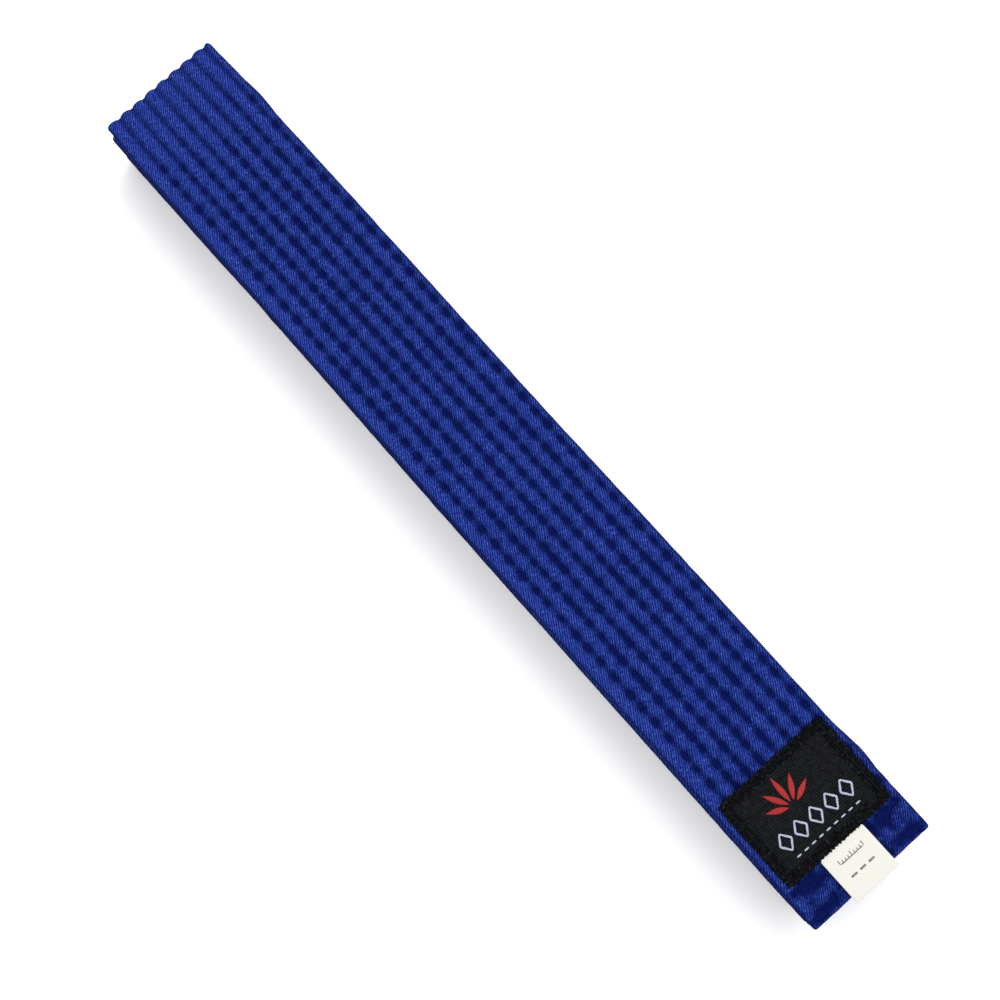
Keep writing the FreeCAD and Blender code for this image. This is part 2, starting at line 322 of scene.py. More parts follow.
def hem_pull(k, x, y, hem):
    """How deep the hem's stitches pull the cloth in, with small pleats where they gather it."""
    deep = 0
    for segment in hem_lines(k):
        away, along = to_segment(x, y, segment)
        pinch = 0.95 + 0.35 * math.cos(along * math.tau / HEM_STITCH)
        deep += hem * pinch * bump(away, HEM_GROOVE_WIDTH)
    for gather in GATHERS:
        spoke = Vector((x - panel_span(k)[1], y)) - Vector(gather)
        pleats = 0.5 + 0.5 * math.cos(PLEATS * math.atan2(spoke.y, spoke.x) + gather[1])
        deep += GATHER * bump(spoke.length, 1.7) + PLEAT * pleats * bump(spoke.length - 3, 2)
    return deep


def pull(k, x, y):
    """How deep the stitches pull the cloth in at a point, in millimetres, 0 on a crest."""
    hem = smooth((x - panel_span(k)[1] + HEM_LENGTH) / 4) if k in (1, LAYERS) else 0
    near_rows = [row for row in range(ROWS) if abs(y - ROW_Y[row]) <= PULL_REACH]
    deep = sum(row_pull(k, row, x, y - ROW_Y[row]) for row in near_rows) * (1 - 0.75 * hem)
    if hem:
        deep += hem_pull(k, x, y, hem)
    return min(deep, HALF_THICK * 1.05)


EDGE_ROUND = 1.45
EDGE_SPREAD = 0.08
SWELL = 0.1
THINNEST = 0.16
END_NARROWER = 0.055


def across_points():
    """Y of the section's points from -Y to +Y: close by each groove, wider on the crests."""
    edge = HALF_WIDTH + EDGE_SPREAD
    points = [-edge, -HALF_WIDTH + 0.12, -HALF_WIDTH + 0.65, ROW_Y[0] - 2.9]
    for row_y in ROW_Y:
        points += [row_y - 1.45, row_y - 0.45, row_y, row_y + 0.45, row_y + 1.45]
    points[-1] = ROW_Y[-1] + 1.2
    return points + [HALF_WIDTH - 0.6, HALF_WIDTH - 0.12, edge]


ACROSS = across_points()
RING_Y = ACROSS + ACROSS[-2:0:-1]


def half_height(y):
    """The section's half thickness at y, before the stitches pull it in: round at the edges."""
    inside = min(max(HALF_WIDTH + EDGE_SPREAD - abs(y), 0), EDGE_ROUND)
    t = 1 - inside / EDGE_ROUND
    return (HALF_THICK + SWELL) * math.sqrt(max(1 - t * t, 0))


def section(k, x, end_scale=1.0):
    """The ring of the tube at x as (y, height) points, one face and then the other."""
    upper, lower = [], []
    for y in ACROSS:
        height = half_height(y)
        deep = pull(k, x, y)
        kept = max(height - deep * min(height / HALF_THICK, 1), min(height, THINNEST))
        placed = placed_y(k, x, y * (1 - END_NARROWER + END_NARROWER * end_scale))
        upper.append((placed, kept * end_scale))
        lower.append((placed, -kept * end_scale))
    return upper + lower[-2:0:-1]


def loft(name, rings, along, around, joined=False, caps=(0, -1), pulls=None):
    """A mesh from rings of points in mm, with a UV map in mm: along by ring, around by point."""
    count = len(rings[0])
    points = [Vector(p) * MM for ring in rings for p in ring]
    faces, corners = [], []
    spans = len(rings) if joined else len(rings) - 1
    for i in range(spans):
        for j in range(count):
            a, b = i * count, (i + 1) % len(rings) * count
            faces.append((a + j, b + j, b + (j + 1) % count, a + (j + 1) % count))
            corners.append([(i, j), (i + 1, j), (i + 1, j + 1), (i, j + 1)])
    for cap in () if joined else caps:
        i = cap % len(rings)
        for j in range(count // 2):
            quad = [j, j + 1, count - j - 1, (count - j) % count]
            quad = list(dict.fromkeys(quad))
            quad = quad if cap == 0 else quad[::-1]
            faces.append(tuple(i * count + q for q in quad))
            corners.append([(i, q) for q in quad])
    mesh = bpy.data.meshes.new(name)
    mesh.from_pydata(points, [], faces)
    layer = mesh.uv_layers.new(name="cloth")
    flat = [value for face in corners for i, j in face for value in (along[i], around[j])]
    layer.data.foreach_set("uv", flat)
    # The depths that paint shade into the cloth's colour, kept as the point attribute pull.
    if pulls:
        depth = mesh.attributes.new("pull", "FLOAT", "POINT")
        depth.data.foreach_set("value", pulls)
    mesh.shade_smooth()
    made = bpy.data.objects.new(name, mesh)
    bpy.context.scene.collection.objects.link(made)
    return made


def subdivide(piece, levels=1):
    stack = piece.modifiers.new("rounding", "SUBSURF")
    stack.levels = stack.render_levels = levels
    return stack


def rumple(piece, texture, strength):
    """Small unevenness of soft cloth, in mm, along the surface's normal."""
    stack = piece.modifiers.new("rumple", "DISPLACE")
    stack.texture = texture
    stack.texture_coords = "LOCAL"
    stack.strength = strength * MM
    stack.mid_level = 0.5


def apply_stack(piece):
    """Bakes a piece's modifiers into its mesh, before it is measured or joined."""
    graph = bpy.context.evaluated_depsgraph_get()
    mesh = bpy.data.meshes.new_from_object(piece.evaluated_get(graph))
    piece.modifiers.clear()
    piece.data = mesh
    mesh.name = piece.name


soft_lumps = bpy.data.textures.new("soft_lumps", "CLOUDS")
soft_lumps.noise_scale = 5 * MM
soft_lumps.noise_depth = 1


def arc_length(k, x):
    """Length along the belt from its labelled end to x in layer k, in mm."""
    panels = (k - 1) * (PANEL_MM + FOLD_MM)
    return panels + (NEAR_X - x if k % 2 else x - FAR_X)


def around_lengths():
    """The UV across the tube: up one face and back along the other."""
    one_face = [y + HALF_WIDTH for y in ACROSS]
    other_face = [4 * HALF_WIDTH - v for v in one_face[-2:0:-1]]
    return one_face + other_face + [4 * HALF_WIDTH]


AROUND = around_lengths()


# The depth of pull, in mm, at which the painted shade in the cloth's colour is darkest.
EDGE_SHADE = 1.3


def twill_material():
    """Cotton twill, dyed in the piece: matt, with slanting ridges that catch a soft light.

    The real ridges are 0.5 mm apart, too fine to show, so they are drawn 0.62 mm apart.
    """
    cloth, tree, shader = new_material(
        "dyed_cotton_twill",
        Roughness=0.85,
        Specular_IOR_Level=0.02,
        Sheen_Weight=0.02,
        Sheen_Roughness=0.4,
        Sheen_Tint=linear("#5f7fe0"),
    )
    place = add(tree, "UVMap", uv_map="cloth").outputs["UV"]
    slant = (0, 0, math.radians(33))
    ridges_at = add(
        tree,
        "Mapping",
        {"Vector": place, "Rotation": slant, "Scale": (2.6, 0.62, 1)},
        vector_type="TEXTURE",
    )
    fibres_at = add(
        tree,
        "Mapping",
        {"Vector": place, "Rotation": slant, "Scale": (0.8, 0.3, 1)},
        vector_type="TEXTURE",
    )
    one_per_unit = math.tau / 20
    ridges = add(
        tree,
        "TexWave",
        {"Vector": ridges_at.outputs["Vector"], "Scale": one_per_unit, "Distortion": 2.2,
         "Detail": 2.0, "Detail Scale": 2.0},
        bands_direction="Y",
    )
    fibres = add(
        tree, "TexNoise", {"Vector": fibres_at.outputs["Vector"], "Scale": 1.0, "Detail": 3.0}
    )
    dye = add(tree, "TexNoise", {"Vector": place, "Scale": 0.09, "Detail": 2.0})
    weave = add(
        tree,
        "Mix",
        {"Factor": 0.75, "A": ridges.outputs["Fac"], "B": fibres.outputs["Fac"]},
    )
    blues = (0.36, "#040b44"), (0.52, "#1b2b76"), (0.66, "#354ea0"), (0.78, "#5a72c4")
    shades = ramp(tree, weave.outputs["Result"], *blues)
    thinned = add(tree, "Math", {0: dye.outputs["Fac"], 1: 0.35}, operation="MULTIPLY")
    patchy = add(
        tree,
        "MixRGB",
        {"Fac": thinned.outputs["Value"], "Color1": shades, "Color2": linear("#14226c")},
        blend_type="MIX",
    )
    # Painted shade: the cloth's colour darkens towards a deep navy where the pull attribute is large,
    # in the stitch grooves, pits and hem gathers and on the folded edges.
    depth = add(tree, "Attribute", attribute_name="pull")
    shade = add(
        tree,
        "MapRange",
        {"Value": depth.outputs["Fac"], "From Min": 0.15, "From Max": EDGE_SHADE, "To Min": 0.0,
         "To Max": 0.9},
    )
    shaded = add(
        tree,
        "MixRGB",
        {"Fac": shade.outputs["Result"], "Color1": patchy.outputs["Color"],
         "Color2": linear("#02083a")},
    )
    link(tree, shaded.outputs["Color"], shader, "Base Color")
    relief = add(
        tree,
        "Bump",
        {"Height": weave.outputs["Result"], "Strength": 0.6, "Distance": 0.25 * MM},
    )
    link(tree, relief.outputs["Normal"], shader, "Normal")
    return cloth


TWILL = twill_material()


def edge_shade(y):
    """Painted shade on the belt's folded edges, as a depth of pull."""
    return EDGE_SHADE * smooth((abs(y) - HALF_WIDTH + 0.9) / 0.8)


PLAIN_HEM = 14
FINE_HEM = 12.6
RUMPLE = 0.22

# How far apart the rings stand, plain and in a hem: they are closer on the top layer.
TOP_STEPS = (1.35, 0.95)
LOWER_STEPS = (2.25, 1.5)

# A finished end is rounded: the distance of its last rings from the end, and how full they are.
ROUNDED_END = [(0.75, 0.97), (0.3, 0.82), (0.04, 0.55)]


def stations(k):
    """Where the rings stand along a panel, each with how full the tube is there."""
    low, high = panel_span(k)
    step, hem_step = TOP_STEPS if k == 1 else LOWER_STEPS
    finished = k in (1, LAYERS)
    straight_to = high - PLAIN_HEM if finished else high
    count = round((straight_to - low) / step)
    made = [(low + i * (straight_to - low) / count, 1.0) for i in range(count + 1)]
    if finished:
        steps = round(FINE_HEM / hem_step)
        made += [(straight_to + i * FINE_HEM / steps, 1.0) for i in range(1, steps + 1)]
        made += [(high - back, fullness) for back, fullness in ROUNDED_END]
    return made if k % 2 == 0 else made[::-1]


def panel_point(k, x, y, height):
    """A point of layer k in space: the face that is up in layer 1 is down in layer 2, and so on."""
    return x, y, LAYER_Z[k] + (height if k % 2 else -height)


def panel_ring(k, x, fullness):
    return [panel_point(k, x, y, h) for y, h in section(k, x, fullness)]


covers = {}
for k in range(1, LAYERS + 1):
    places = stations(k)
    rings = [panel_ring(k, x, fullness) for x, fullness in places]
    # Painted shade: each point's depth of pull, plus the painted edge shade, is stored to darken the
    # cloth's colour.
    pulls = [pull(k, x, y) + edge_shade(y) for x, _ in places for y in RING_Y]
    lengths = [arc_length(k, x) for x, _ in places]
    caps = {1: (0,), LAYERS: (-1,)}.get(k, ())
    piece = loft(f"belt_cover_{k}", rings, lengths, AROUND, caps=caps, pulls=pulls)
    piece.data.materials.append(TWILL)
    subdivide(piece)
    rumple(piece, soft_lumps, RUMPLE)
    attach(piece, f"panel_{k}")
    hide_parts(f"cover_{k}")
    covers[k] = piece

# ---- the folds ----
# At each fold the same tube of cloth turns back on itself round a tight crease. The quilting is
# stretched smooth outside.

FOLD_STEPS = 13
LEAST_RADIUS = 0.04


def fold_facts(k):
    """Fold k's crease height, its outer radius, and how far it is squeezed along X."""
    low, high = (Vector(corner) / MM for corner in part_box(f"fold_cover_{k}"))
    outer = (high.z - low.z) / 2
    return (low.z + high.z) / 2, outer, (high.x - low.x) / outer


FOLD_FACTS = {k: fold_facts(k) for k in range(1, LAYERS)}


def fold_point(k, angle, y, height):
    """A point of fold k in space, at an angle round it from the layer above to the layer below."""
    crease_z, outer, squeeze = FOLD_FACTS[k]
    side = 1 if k % 2 else -1
    radius = max(outer - HALF_THICK + side * height, LEAST_RADIUS)
    x = fold_x(k) - side * squeeze * radius * math.sin(angle)
    return x, y, crease_z + radius * math.cos(angle)


def fold_x(k):
    return FAR_X if k % 2 else NEAR_X


def bend_with(piece):
    """Bakes the piece's place in space into its mesh."""
    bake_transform(piece)


angles = [math.pi * i / (FOLD_STEPS - 1) for i in range(FOLD_STEPS)]
folds = {}
for k in range(1, LAYERS):
    crease_x = fold_x(k)
    rings = [[fold_point(k, angle, y, h) for y, h in section(k, crease_x)] for angle in angles]
    start = arc_length(k, crease_x)
    lengths = [start + FOLD_MM * i / (FOLD_STEPS - 1) for i in range(FOLD_STEPS)]
    # Painted shade: the depth of pull across the crease, plus the painted edge shade, is stored to
    # darken the fold's colour.
    pulls = [pull(k, crease_x, y) + edge_shade(y) for y in RING_Y] * FOLD_STEPS
    piece = loft(f"belt_fold_{k}", rings, lengths, AROUND, caps=(), pulls=pulls)
    piece.data.materials.append(TWILL)
    subdivide(piece)
    rumple(piece, soft_lumps, RUMPLE)
    apply_stack(piece)
    bend_with(piece)
    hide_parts(f"fold_cover_{k}")
    folds[k] = piece

# ---- the wadding ----
# Two plies of undyed cotton wadding lie in the tube and make the ribs stand up. The rows of
# stitches press them thin. They bend with the cloth at each fold.

PLY_INSET = 1.3
PLY_GAP = 0.03
PLY_UNDER_CLOTH = 0.6
PLY_PRESSED = 1.4
PLY_THINNEST = 0.08
PLY_ACROSS = [-HALF_WIDTH + PLY_INSET, ROW_Y[0] - 2.6]
for row_y in ROW_Y:
    PLY_ACROSS += [row_y - 1.3, row_y, row_y + 1.3]
PLY_ACROSS[-1] = HALF_WIDTH - PLY_INSET


def ply_section(sign):
    """One ply's ring as (y, height) points, above or below the middle of the tube."""
    order = PLY_ACROSS if sign > 0 else PLY_ACROSS[::-1]
    outer = []
    for y in order:
        pressed = sum(PLY_PRESSED * bump(y - row_y, 1.5) for row_y in ROW_Y)
        height = max(HALF_THICK - PLY_UNDER_CLOTH - pressed, PLY_GAP + PLY_THINNEST)
        outer.append((y, sign * height))
    inner = [(y, sign * PLY_GAP) for y in order]
    return [inner[0]] + outer[1:-1] + [inner[-1]] + inner[-2:0:-1]


def joined_piece(name, parts):
    """Joins meshes into one object, by name."""
    bpy.ops.object.select_all(action="DESELECT")
    for part in parts:
        part.select_set(True)
    bpy.context.view_layer.objects.active = parts[0]
    bpy.ops.object.join()
    parts[0].name = name
    return parts[0]


wadding, wadding_tree, wadding_shader = new_material(
    "cotton_wadding", Roughness=1.0, Sheen_Weight=0.4
)
fluff = add(wadding_tree, "TexNoise", {"Scale": 900.0, "Detail": 4.0})
fluff_place = add(wadding_tree, "TexCoord")
wadding_tree.links.new(fluff_place.outputs["Object"], fluff.inputs["Vector"])
fluff_shades = ramp(wadding_tree, fluff.outputs["Fac"], (0, "#c9c2b2"), (1, "#f1ede2"))
link(wadding_tree, fluff_shades, wadding_shader, "Base Color")

PLY_STEP = 12.0
PLY_TO_FOLD = 0.6
PLY_FOLD_STEPS = 12
ply_angles = [math.pi * (0.07 + 0.86 * i / PLY_FOLD_STEPS) for i in range(PLY_FOLD_STEPS + 1)]
for k in range(1, LAYERS + 1):
    low, high = panel_span(k)
    low += PLY_TO_FOLD
    high -= PLAIN_HEM if k in (1, LAYERS) else PLY_TO_FOLD
    count = round((high - low) / PLY_STEP)
    xs = [low + i * (high - low) / count for i in range(count + 1)]
    xs = xs if k % 2 == 0 else xs[::-1]
    plies = []
    for sign in (1, -1):
        shape = ply_section(sign)
        rings = [[panel_point(k, x, placed_y(k, x, y), h) for y, h in shape] for x in xs]
        plies.append(loft(f"ply_{k}_{sign}", rings, xs, range(len(shape) + 1)))
    piece = joined_piece(f"wadding_{k}", plies)
    piece.data.materials.append(wadding)
    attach(piece, f"panel_{k}")
    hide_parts(f"core_{k}")
for k in range(1, LAYERS):
    plies = []
    for sign in (1, -1):
        shape = ply_section(sign)
        x = fold_x(k)
        rings = [[fold_point(k, a, placed_y(k, x, y), h) for y, h in shape] for a in ply_angles]
        plies.append(loft(f"fold_ply_{k}_{sign}", rings, ply_angles, range(len(shape) + 1)))
    piece = joined_piece(f"fold_wadding_{k}", plies)
    piece.data.materials.append(wadding)
    bend_with(piece)
    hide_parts(f"fold_core_{k}")

# ---- the rows of stitches ----
# Eight rows of lockstitch hold cloth and wadding together. Dark blue polyester thread goes down
# through each pit and lies in the groove between, on both faces and round the folds.

THREAD_RADIUS = 0.13
CLEAR_OF_CLOTH = 6
SUNK_AT_HOLE = 0.3
PROUD_BETWEEN = 0.02
graph = bpy.context.evaluated_depsgraph_get()
SKINS = {k: BVHTree.FromObject(covers[k], graph) for k in covers}
FOLD_SKINS = {k: BVHTree.FromObject(folds[k], graph) for k in folds}


def surface_z(k, x, y, up):
    """Height of layer k's cloth at x, y, on its upper (up 1) or lower (up -1) face, in mm."""
    start = Vector((x, y, LAYER_Z[k] + up * CLEAR_OF_CLOTH)) * MM
    hit = SKINS[k].ray_cast(start, Vector((0, 0, -up)), CLEAR_OF_CLOTH * MM)[0]
    return hit.z / MM if hit else LAYER_Z[k] + up * HALF_THICK


def threads(name, paths, radius):
    """Round threads along paths of points in mm, as one mesh."""
    curve = bpy.data.curves.new(name, "CURVE")
    curve.dimensions = "3D"
    curve.bevel_depth = radius * MM
    curve.bevel_resolution = 0
    curve.use_fill_caps = True
    for path in paths:
        spline = curve.splines.new("POLY")
        spline.points.add(len(path) - 1)
        flat = [value for p in path for value in (p[0] * MM, p[1] * MM, p[2] * MM, 1)]
        spline.points.foreach_set("co", flat)
    drawn = bpy.data.objects.new(name + "_curve", curve)
    bpy.context.scene.collection.objects.link(drawn)
    evaluated = drawn.evaluated_get(bpy.context.evaluated_depsgraph_get())
    mesh = bpy.data.meshes.new_from_object(evaluated)
    mesh.name = name
    mesh.shade_smooth()
    bpy.data.objects.remove(drawn)
    bpy.data.curves.remove(curve)
    made = bpy.data.objects.new(name, mesh)
    bpy.context.scene.collection.objects.link(made)
    return made


def on_cloth(k, x, y, up, lift):
    """A point lift mm above layer k's cloth, over x, y on the straight belt."""
    y = placed_y(k, x, y)
    return x, y, surface_z(k, x, y, up) + up * lift


def stitched(k, holes, up):
    """A thread's path over holes (x, y): down at each hole and up on the cloth between."""
    path = []
    for (x, y), (next_x, next_y) in zip(holes[:-1], holes[1:]):
        path.append(on_cloth(k, x, y, up, -SUNK_AT_HOLE))
        for share in (0.2, 0.5, 0.8):
            part_x, part_y = x + (next_x - x) * share, y + (next_y - y) * share
            path.append(on_cloth(k, part_x, part_y, up, PROUD_BETWEEN))
    return path + [on_cloth(k, *holes[-1], up, -SUNK_AT_HOLE)]


def spun_thread(name, dark, light, roughness=0.6):
    """Spun sewing thread: a soft gloss on the round of each thread, finely slanted plies."""
    thread, tree, shader = new_material(name, Roughness=roughness, Specular_IOR_Level=0.05)
    place = add(tree, "TexCoord").outputs["Object"]
    twist = add(tree, "TexWave", {"Vector": place, "Scale": 420.0, "Distortion": 3.0})
    link(tree, ramp(tree, twist.outputs["Fac"], (0, dark), (1, light)), shader, "Base Color")
    relief = add(tree, "Bump", {"Height": twist.outputs["Fac"], "Distance": 0.05 * MM})
    link(tree, relief.outputs["Normal"], shader, "Normal")
    return thread


BLUE_THREAD = spun_thread("blue_polyester_thread", "#040a36", "#0f1c62")

for k in range(1, LAYERS + 1):
    paths = []
    for row, row_y in enumerate(ROW_Y):
        holes = [(hole[0], row_y) for hole in HOLES[k, row]]
        paths += [stitched(k, holes, up) for up in (1, -1)]
    piece = threads(f"row_threads_{k}", paths, THREAD_RADIUS)
    piece.data.materials.append(BLUE_THREAD)
    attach(piece, f"panel_{k}")
    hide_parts(f"stitching_{k}")

for k in range(1, LAYERS):
    paths = []
    side = 1 if k % 2 else -1
    for row_y in ROW_Y:
        path = []
        y = placed_y(k, fold_x(k), row_y)
        for angle in angles:
            inside = Vector(fold_point(k, angle, y, 0)) * MM
            outside = Vector(fold_point(k, angle, y, side * 3 * HALF_THICK)) * MM
            inward = (inside - outside).normalized()
            groove = Vector(fold_point(k, angle, y, side * (HALF_THICK - GROOVE))) * MM
            hit = FOLD_SKINS[k].ray_cast(outside, inward)[0] or groove
            path.append((hit - inward * 0.08 * MM) / MM)
        paths.append(path)
    piece = threads(f"fold_threads_{k}", paths, THREAD_RADIUS)
    piece.data.materials.append(BLUE_THREAD)
    bend_with(piece)
    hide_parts(f"fold_stitching_{k}")

# ---- the stitches of the two hems ----
# Each finished end is turned in and closed by a row across it, a second row further in, and two
# rows that cross between them, all in the same blue thread.

for k, node in ((1, "label_end_stitching"), (LAYERS, "plain_end_stitching")):
    paths = []
    for start, end in hem_lines(k):
        run = Vector(end) - Vector(start)
        count = round(run.length / HEM_STITCH)
        holes = [Vector(start) + run * (i / count) for i in range(count + 1)]
        paths.append(stitched(k, holes, 1))
    piece = threads(node.replace("stitching", "threads"), paths, THREAD_RADIUS)
    piece.data.materials.append(BLUE_THREAD)
    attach(piece, f"panel_{k}")
    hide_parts(node)

# ---- the woven label ----
# A label of black damask, 36 by 27 mm, lies across the belt on the crests of its ribs. Its weave
# shows as fine ribs across it, and the belt's ribs just show through.

patch_low, patch_high = (Vector(corner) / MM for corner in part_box("label_patch"))
LABEL_MID = (patch_low + patch_high) / 2
LABEL_HALF = (patch_high - patch_low) / 2
LABEL_THICK = 0.42
LABEL_SINK = 0.16
LABEL_WAVE = 0.06


def label_top(x, y):
    """Height of the label's face, which sinks a little over each groove under it."""
    sink = sum(LABEL_SINK * bump(y - row_y, 1.2) for row_y in ROW_Y)
    wave = LABEL_WAVE * math.sin(0.33 * x + 0.21 * y) * math.sin(0.27 * y)
    return patch_high.z - 0.02 - sink + wave


def cloth_slab(name, xs, ys, top, thickness):
    """A thin piece of cloth over a grid of points, with a rounded rim."""
    rings = []
    for x in xs:
        face = [(x, y, top(x, y)) for y in ys]
        back = [(x, y, z - thickness) for x, y, z in face]
        edge = [(x, ys[0], face[0][2] - thickness / 2), (x, ys[-1], face[-1][2] - thickness / 2)]
        rings.append([edge[0]] + face[1:-1] + [edge[1]] + back[-2:0:-1])
    half = [y - ys[0] for y in ys]
    around = half + [half[-1] * 2 - v for v in half[-2:0:-1]] + [half[-1] * 2]
    return loft(name, rings, [-x for x in xs], around)


def evenly(low, high, count):
    return [low + (high - low) * i / count for i in range(count + 1)]


damask, damask_tree, damask_shader = new_material(
    "black_damask", Roughness=0.75, Specular_IOR_Level=0.03
)
damask_place = add(damask_tree, "TexCoord").outputs["Object"]
weft_at = add(damask_tree, "Mapping", {"Vector": damask_place, "Scale": (1000, 1000, 1000)})
weft = add(
    damask_tree,
    "TexWave",
    {"Vector": weft_at.outputs["Vector"], "Scale": math.tau / 20 / 0.7, "Distortion": 1.2,
     "Detail": 2.0, "Detail Scale": 1.5},
    bands_direction="X",
)
slub = add(damask_tree, "TexNoise", {"Vector": weft_at.outputs["Vector"], "Scale": 1.3, "Detail": 4.0})
woven = add(
    damask_tree, "Mix", {"Factor": 0.65, "A": weft.outputs["Fac"], "B": slub.outputs["Fac"]}
)
damask_shades = ramp(damask_tree, woven.outputs["Result"], (0.3, "#040405"), (0.8, "#1f2124"))
link(damask_tree, damask_shades, damask_shader, "Base Color")
damask_relief = add(
    damask_tree,
    "Bump",
    {"Height": woven.outputs["Result"], "Strength": 0.7, "Distance": 0.12 * MM},
)
link(damask_tree, damask_relief.outputs["Normal"], damask_shader, "Normal")

patch_rows = sorted(
    [patch_low.y, patch_high.y] + [row_y + off for row_y in ROW_Y for off in (-1.5, 0, 1.5)]
)
patch_rows = [y for y in patch_rows if patch_low.y <= y <= patch_high.y]
patch_columns = evenly(patch_high.x, patch_low.x, 12)
patch = cloth_slab("woven_label", patch_columns, patch_rows, label_top, LABEL_THICK)
patch.data.materials.append(damask)
subdivide(patch, 2)
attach(patch, "panel_1")
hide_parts("label_patch")

# ---- the overlocked border of the label ----
# The label's cut edge is overlocked: black thread thrown over it from 3 mm in to just past the
# edge, close together and not quite even, with lighter lint caught in it.

BORDER = 2.9
CORNER_STEPS = 6


def label_rim(spacing):
    """Places round the label: a point of the border's inner line, the way out, and its reach."""
    inner = LABEL_HALF - Vector((BORDER, BORDER, 0))
    corners = [(1, 1), (-1, 1), (-1, -1), (1, -1)]
    places = []
    for i, (sx, sy) in enumerate(corners):
        corner = Vector((LABEL_MID.x + sx * inner.x, LABEL_MID.y + sy * inner.y))
        after = corners[(i + 1) % 4]
        far = Vector((LABEL_MID.x + after[0] * inner.x, LABEL_MID.y + after[1] * inner.y))
        begin = math.atan2(sy, sx) - math.pi / 4
        for step in range(CORNER_STEPS):
            swing = math.pi / 2 * step / CORNER_STEPS
            out = Vector((math.cos(begin + swing), math.sin(begin + swing)))
            stretch = max(abs(math.cos(swing)), abs(math.sin(swing))) ** -0.85
            places.append((corner, out, stretch))
        out = Vector((math.cos(begin + math.pi / 2), math.sin(begin + math.pi / 2)))
        count = max(round((far - corner).length / spacing), 1)
        places += [(corner + (far - corner) * j / count, out, 1.0) for j in range(count)]
    return places


def rim_point(place, outward, height, slant=0.0):
    """A point outward mm from the border's inner line and height mm above the label's face."""
    base, out, stretch = place
    spot = base + out * outward * stretch + Vector((-out.y, out.x)) * slant
    return spot.x, spot.y, label_top(spot.x, spot.y) + height


overlock, overlock_tree, overlock_shader = new_material(
    "black_overlock_thread", Roughness=0.9, Specular_IOR_Level=0.03
)
lint_place = add(overlock_tree, "TexCoord").outputs["Object"]
lint = add(overlock_tree, "TexNoise", {"Vector": lint_place, "Scale": 1300.0, "Detail": 3.0})
lint_shades = ramp(overlock_tree, lint.outputs["Fac"], (0.5, "#090a0c"), (0.78, "#292a2c"))
link(overlock_tree, lint_shades, overlock_shader, "Base Color")

# The band under the throws, as points outward from the inner line and above the label's face.
BAND = [(0.0, 0.0), (0.5, 0.2), (1.5, 0.28), (2.6, 0.24), (3.05, 0.05), (3.1, -0.35),
        (2.8, -0.45), (2.6, -0.12), (0.3, -0.1)]
band_places = label_rim(1.2)
band_rings = [[rim_point(place, out, up) for out, up in BAND] for place in band_places]
band_counts = range(len(band_rings) + 1), range(len(BAND) + 1)
band = loft("border_band", band_rings, *band_counts, joined=True)
subdivide(band, 2)
tufts = bpy.data.textures.new("tufts", "CLOUDS")
tufts.noise_scale = 0.9 * MM
rumple(band, tufts, 0.35)
apply_stack(band)

# Each throw rises from inside the border, crosses the band and goes down over the label's edge.
THROW_PITCH = 0.62
THROW_RADIUS = 0.15
feed = random.Random(7)
throws = []
for i, place in enumerate(label_rim(THROW_PITCH)):
    lean = (0.55 if i % 2 else -0.35) + feed.uniform(-0.25, 0.25)
    inner_end = feed.uniform(-0.15, 0.55)
    throws.append(
        [
            rim_point(place, inner_end, 0.0, -lean),
            rim_point(place, inner_end + 0.35, 0.3, -0.7 * lean),
            rim_point(place, 1.6, 0.4 + feed.uniform(-0.06, 0.08), 0.1 * lean),
            rim_point(place, 2.8, 0.3, 0.8 * lean),
            rim_point(place, 3.12 + feed.uniform(0, 0.22), -0.05, lean),
            rim_point(place, 3.0, -0.45, lean),
        ]
    )
throw_threads = threads("border_throws", throws, THROW_RADIUS)
border = joined_piece("label_overlock", [band, throw_threads])
border.data.materials.clear()
border.data.materials.append(overlock)
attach(border, "panel_1")
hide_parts("label_border")

# ---- the seam that sews the label down ----
# One row of black lockstitch goes round the label through the middle of its overlocked border.
# It is spun polyester thread, down at each hole and up on the border between.

SEAM_OUT = BORDER - 1.3
SEAM_HEIGHT = 0.38
SEAM_LIFT = 0.16
SEAM_STITCH = 2.6
SEAM_RADIUS = 0.16
seam_places = label_rim(SEAM_STITCH)
dashes = []
for this, after in zip(seam_places, seam_places[1:] + seam_places[:1]):
    start = Vector(rim_point(this, SEAM_OUT, SEAM_HEIGHT))
    end = Vector(rim_point(after, SEAM_OUT, SEAM_HEIGHT))
    lift = Vector((0, 0, SEAM_LIFT))
    dashes.append([start, start.lerp(end, 0.2) + lift, start.lerp(end, 0.8) + lift, end])
seam = threads("label_seam_threads", dashes, SEAM_RADIUS)
seam.data.materials.append(spun_thread("black_sewing_thread", "#060607", "#1b1c1f"))
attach(seam, "panel_1")
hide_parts("label_seam")

# ---- the two motifs of the label ----
# Raised satin stitch on the damask: a fan of five red bamboo leaves, and under it a white chain
# of lozenges with a row of short bars. Both are plain ornament.


def satin_stitch(name, dark, light):
    """Satin-stitched rayon thread: bright, with fine threads side by side across the shape.

    The real threads are 0.3 mm apart, too fine to show, so they are drawn 0.5 mm apart.
    """
    satin, tree, shader = new_material(name, Roughness=0.5, Specular_IOR_Level=0.25)
    place = add(tree, "UVMap", uv_map="cloth").outputs["UV"]
    rows = add(
        tree,
        "TexWave",
        {"Vector": place, "Scale": math.tau / 20 / 0.5, "Distortion": 0.8, "Detail": 1.0},
        bands_direction="X",
    )
    link(tree, ramp(tree, rows.outputs["Fac"], (0, dark), (1, light)), shader, "Base Color")
    relief = add(tree, "Bump", {"Height": rows.outputs["Fac"], "Distance": 0.1 * MM})
    link(tree, relief.outputs["Normal"], shader, "Normal")
    return satin


def raised(x, y, height):
    return x, y, label_top(x, y) + height


